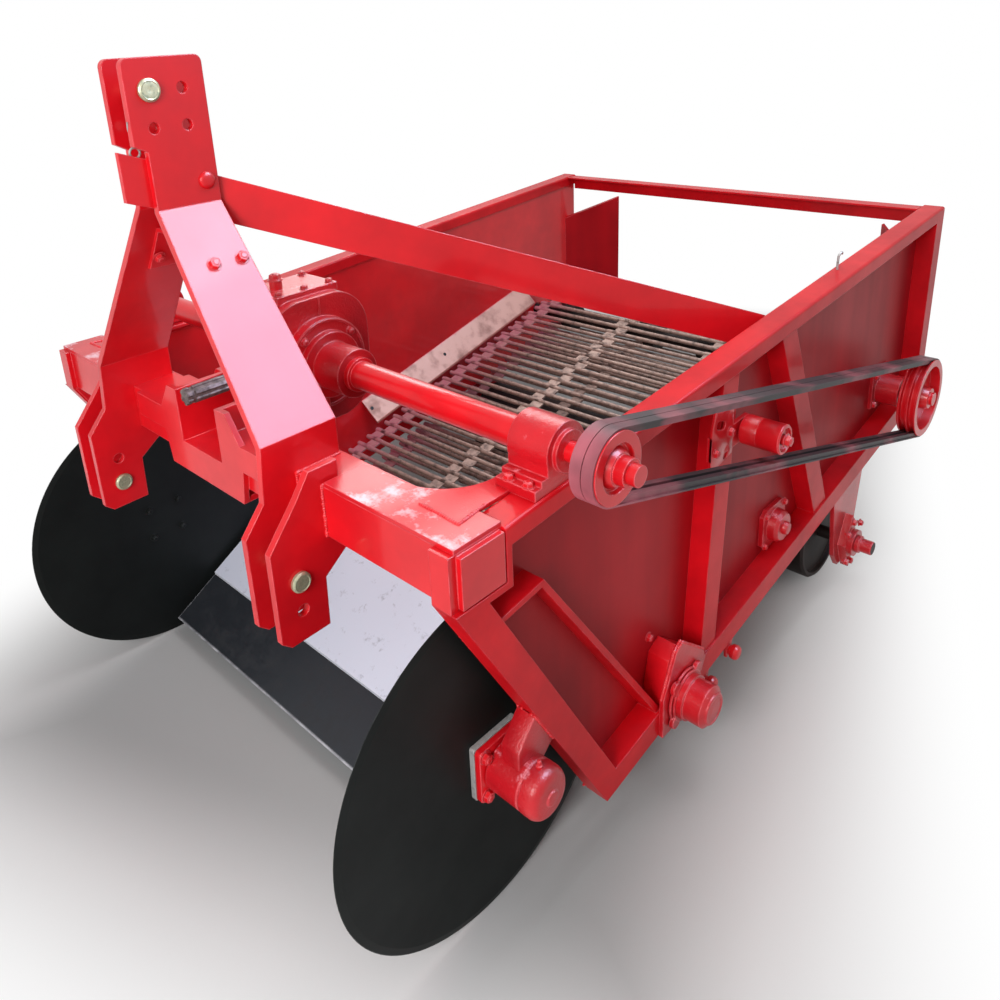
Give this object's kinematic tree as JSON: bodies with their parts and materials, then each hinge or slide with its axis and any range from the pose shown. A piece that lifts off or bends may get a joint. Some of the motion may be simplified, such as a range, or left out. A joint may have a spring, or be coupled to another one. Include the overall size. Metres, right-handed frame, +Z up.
{
  "type": "potato digger",
  "caption": "Tractor-mounted potato digger: a share and two discs lift the ridge onto a belt-driven rod web that sieves the soil and drops the potatoes behind.",
  "frame": {"origin": "centre of the front end of the input shaft, where the tractor's drive shaft goes on", "axes": "+Y rearwards in the direction the crop travels, +X towards the belt side, +Z up; the ground is at Z = -0.935 m"},
  "size_m": [1.614, 2.3609, 1.553],
  "materials": {
    "bare_steel": "bare machined steel",
    "black_enamel": "black enamel, satin",
    "dark_steel": "dark hardened steel",
    "dirty_steel": "bare steel rods with storage dirt",
    "red_enamel": "glossy bright red enamel",
    "rubber": "black rubber belt",
    "zinc": "yellow zinc plate"
  },
  "bodies": {
    "frame": {"brace_bar": "red_enamel", "corner_plate_left": "red_enamel", "corner_plate_right": "red_enamel", "cross_beam": "red_enamel", "deflector_left": "red_enamel", "deflector_right": "red_enamel", "disc_housing_left": "red_enamel", "disc_housing_right": "red_enamel", "drum_hanger_left": "red_enamel", "drum_hanger_right": "red_enamel", "fork_ear_left": "red_enamel", "fork_ear_right": "red_enamel", "front_bearing_left": "red_enamel", "front_bearing_right": "red_enamel", "gearbox": "red_enamel", "idler_bracket": "red_enamel", "lower_pin_left": "zinc", "lower_pin_right": "zinc", "mast_leg_left": "red_enamel", "mast_leg_right": "red_enamel", "mast_spacer": "red_enamel", "mid_bearing_left": "red_enamel", "mid_bearing_right": "red_enamel", "rear_bearing_left": "red_enamel", "rear_bearing_right": "red_enamel", "rear_cross_angle": "red_enamel", "shaft_bearing_left": "red_enamel", "shaft_bearing_right": "red_enamel", "shaft_tube_left": "red_enamel", "shaft_tube_right": "red_enamel", "share_blade": "dark_steel", "share_carrier": "red_enamel", "share_plate": "bare_steel", "side_frame_left": "red_enamel", "side_frame_right": "red_enamel", "side_panel_left": "red_enamel", "side_panel_right": "red_enamel", "side_strip_left": "dirty_steel", "side_strip_right": "dirty_steel", "top_link_pin": "zinc", "v_belt_1": "rubber", "v_belt_2": "rubber", "web_front_roller": "dirty_steel", "web_front_turn": "dirty_steel", "web_lower_run": "dirty_steel", "web_mid_roller": "dirty_steel", "web_rear_roller": "dirty_steel", "web_rear_turn": "dirty_steel", "web_upper_run": "dirty_steel"},
    "input_shaft": {"input_shaft": "bare_steel"},
    "cross_shaft": {"cross_shaft": "red_enamel", "drive_pulley": "red_enamel"},
    "driven_pulley": {"driven_pulley": "red_enamel"},
    "disc_left": {"disc_left": "black_enamel", "disc_flange_left": "red_enamel"},
    "disc_right": {"disc_right": "black_enamel", "disc_flange_right": "red_enamel"},
    "rear_drum": {"rear_drum": "black_enamel"},
    "belt_idler": {"belt_idler": "red_enamel"}
  },
  "joints": [
    {"name": "cross_shaft_spin", "type": "hinge", "parent": "frame", "child": "cross_shaft", "pos_m": [0.77, 0.283, 0], "axis": [1, 0, 0], "continuous": true},
    {"name": "input_shaft_spin", "type": "hinge", "parent": "frame", "child": "input_shaft", "pos_m": [0, 0.09, 0], "axis": [0, 1, 0], "continuous": true},
    {"name": "driven_pulley_spin", "type": "hinge", "parent": "frame", "child": "driven_pulley", "pos_m": [0.768, 1.828, -0.43], "axis": [1, 0, 0], "continuous": true},
    {"name": "disc_spin_left", "type": "hinge", "parent": "frame", "child": "disc_left", "pos_m": [-0.606, 0.169, -0.585], "axis": [1, 0, 0], "continuous": true},
    {"name": "disc_spin_right", "type": "hinge", "parent": "frame", "child": "disc_right", "pos_m": [0.606, 0.169, -0.585], "axis": [1, 0, 0], "continuous": true},
    {"name": "rear_drum_spin", "type": "hinge", "parent": "frame", "child": "rear_drum", "pos_m": [0, 1.55, -0.795], "axis": [1, 0, 0], "continuous": true},
    {"name": "belt_idler_spin", "type": "hinge", "parent": "frame", "child": "belt_idler", "pos_m": [0.75, 0.86, -0.179], "axis": [1, 0, 0], "continuous": true}
  ],
  "couplings": [
    {"joint": "input_shaft_spin", "follows": "cross_shaft_spin", "ratio": 1},
    {"joint": "driven_pulley_spin", "follows": "cross_shaft_spin", "ratio": 0.5357}
  ]
}
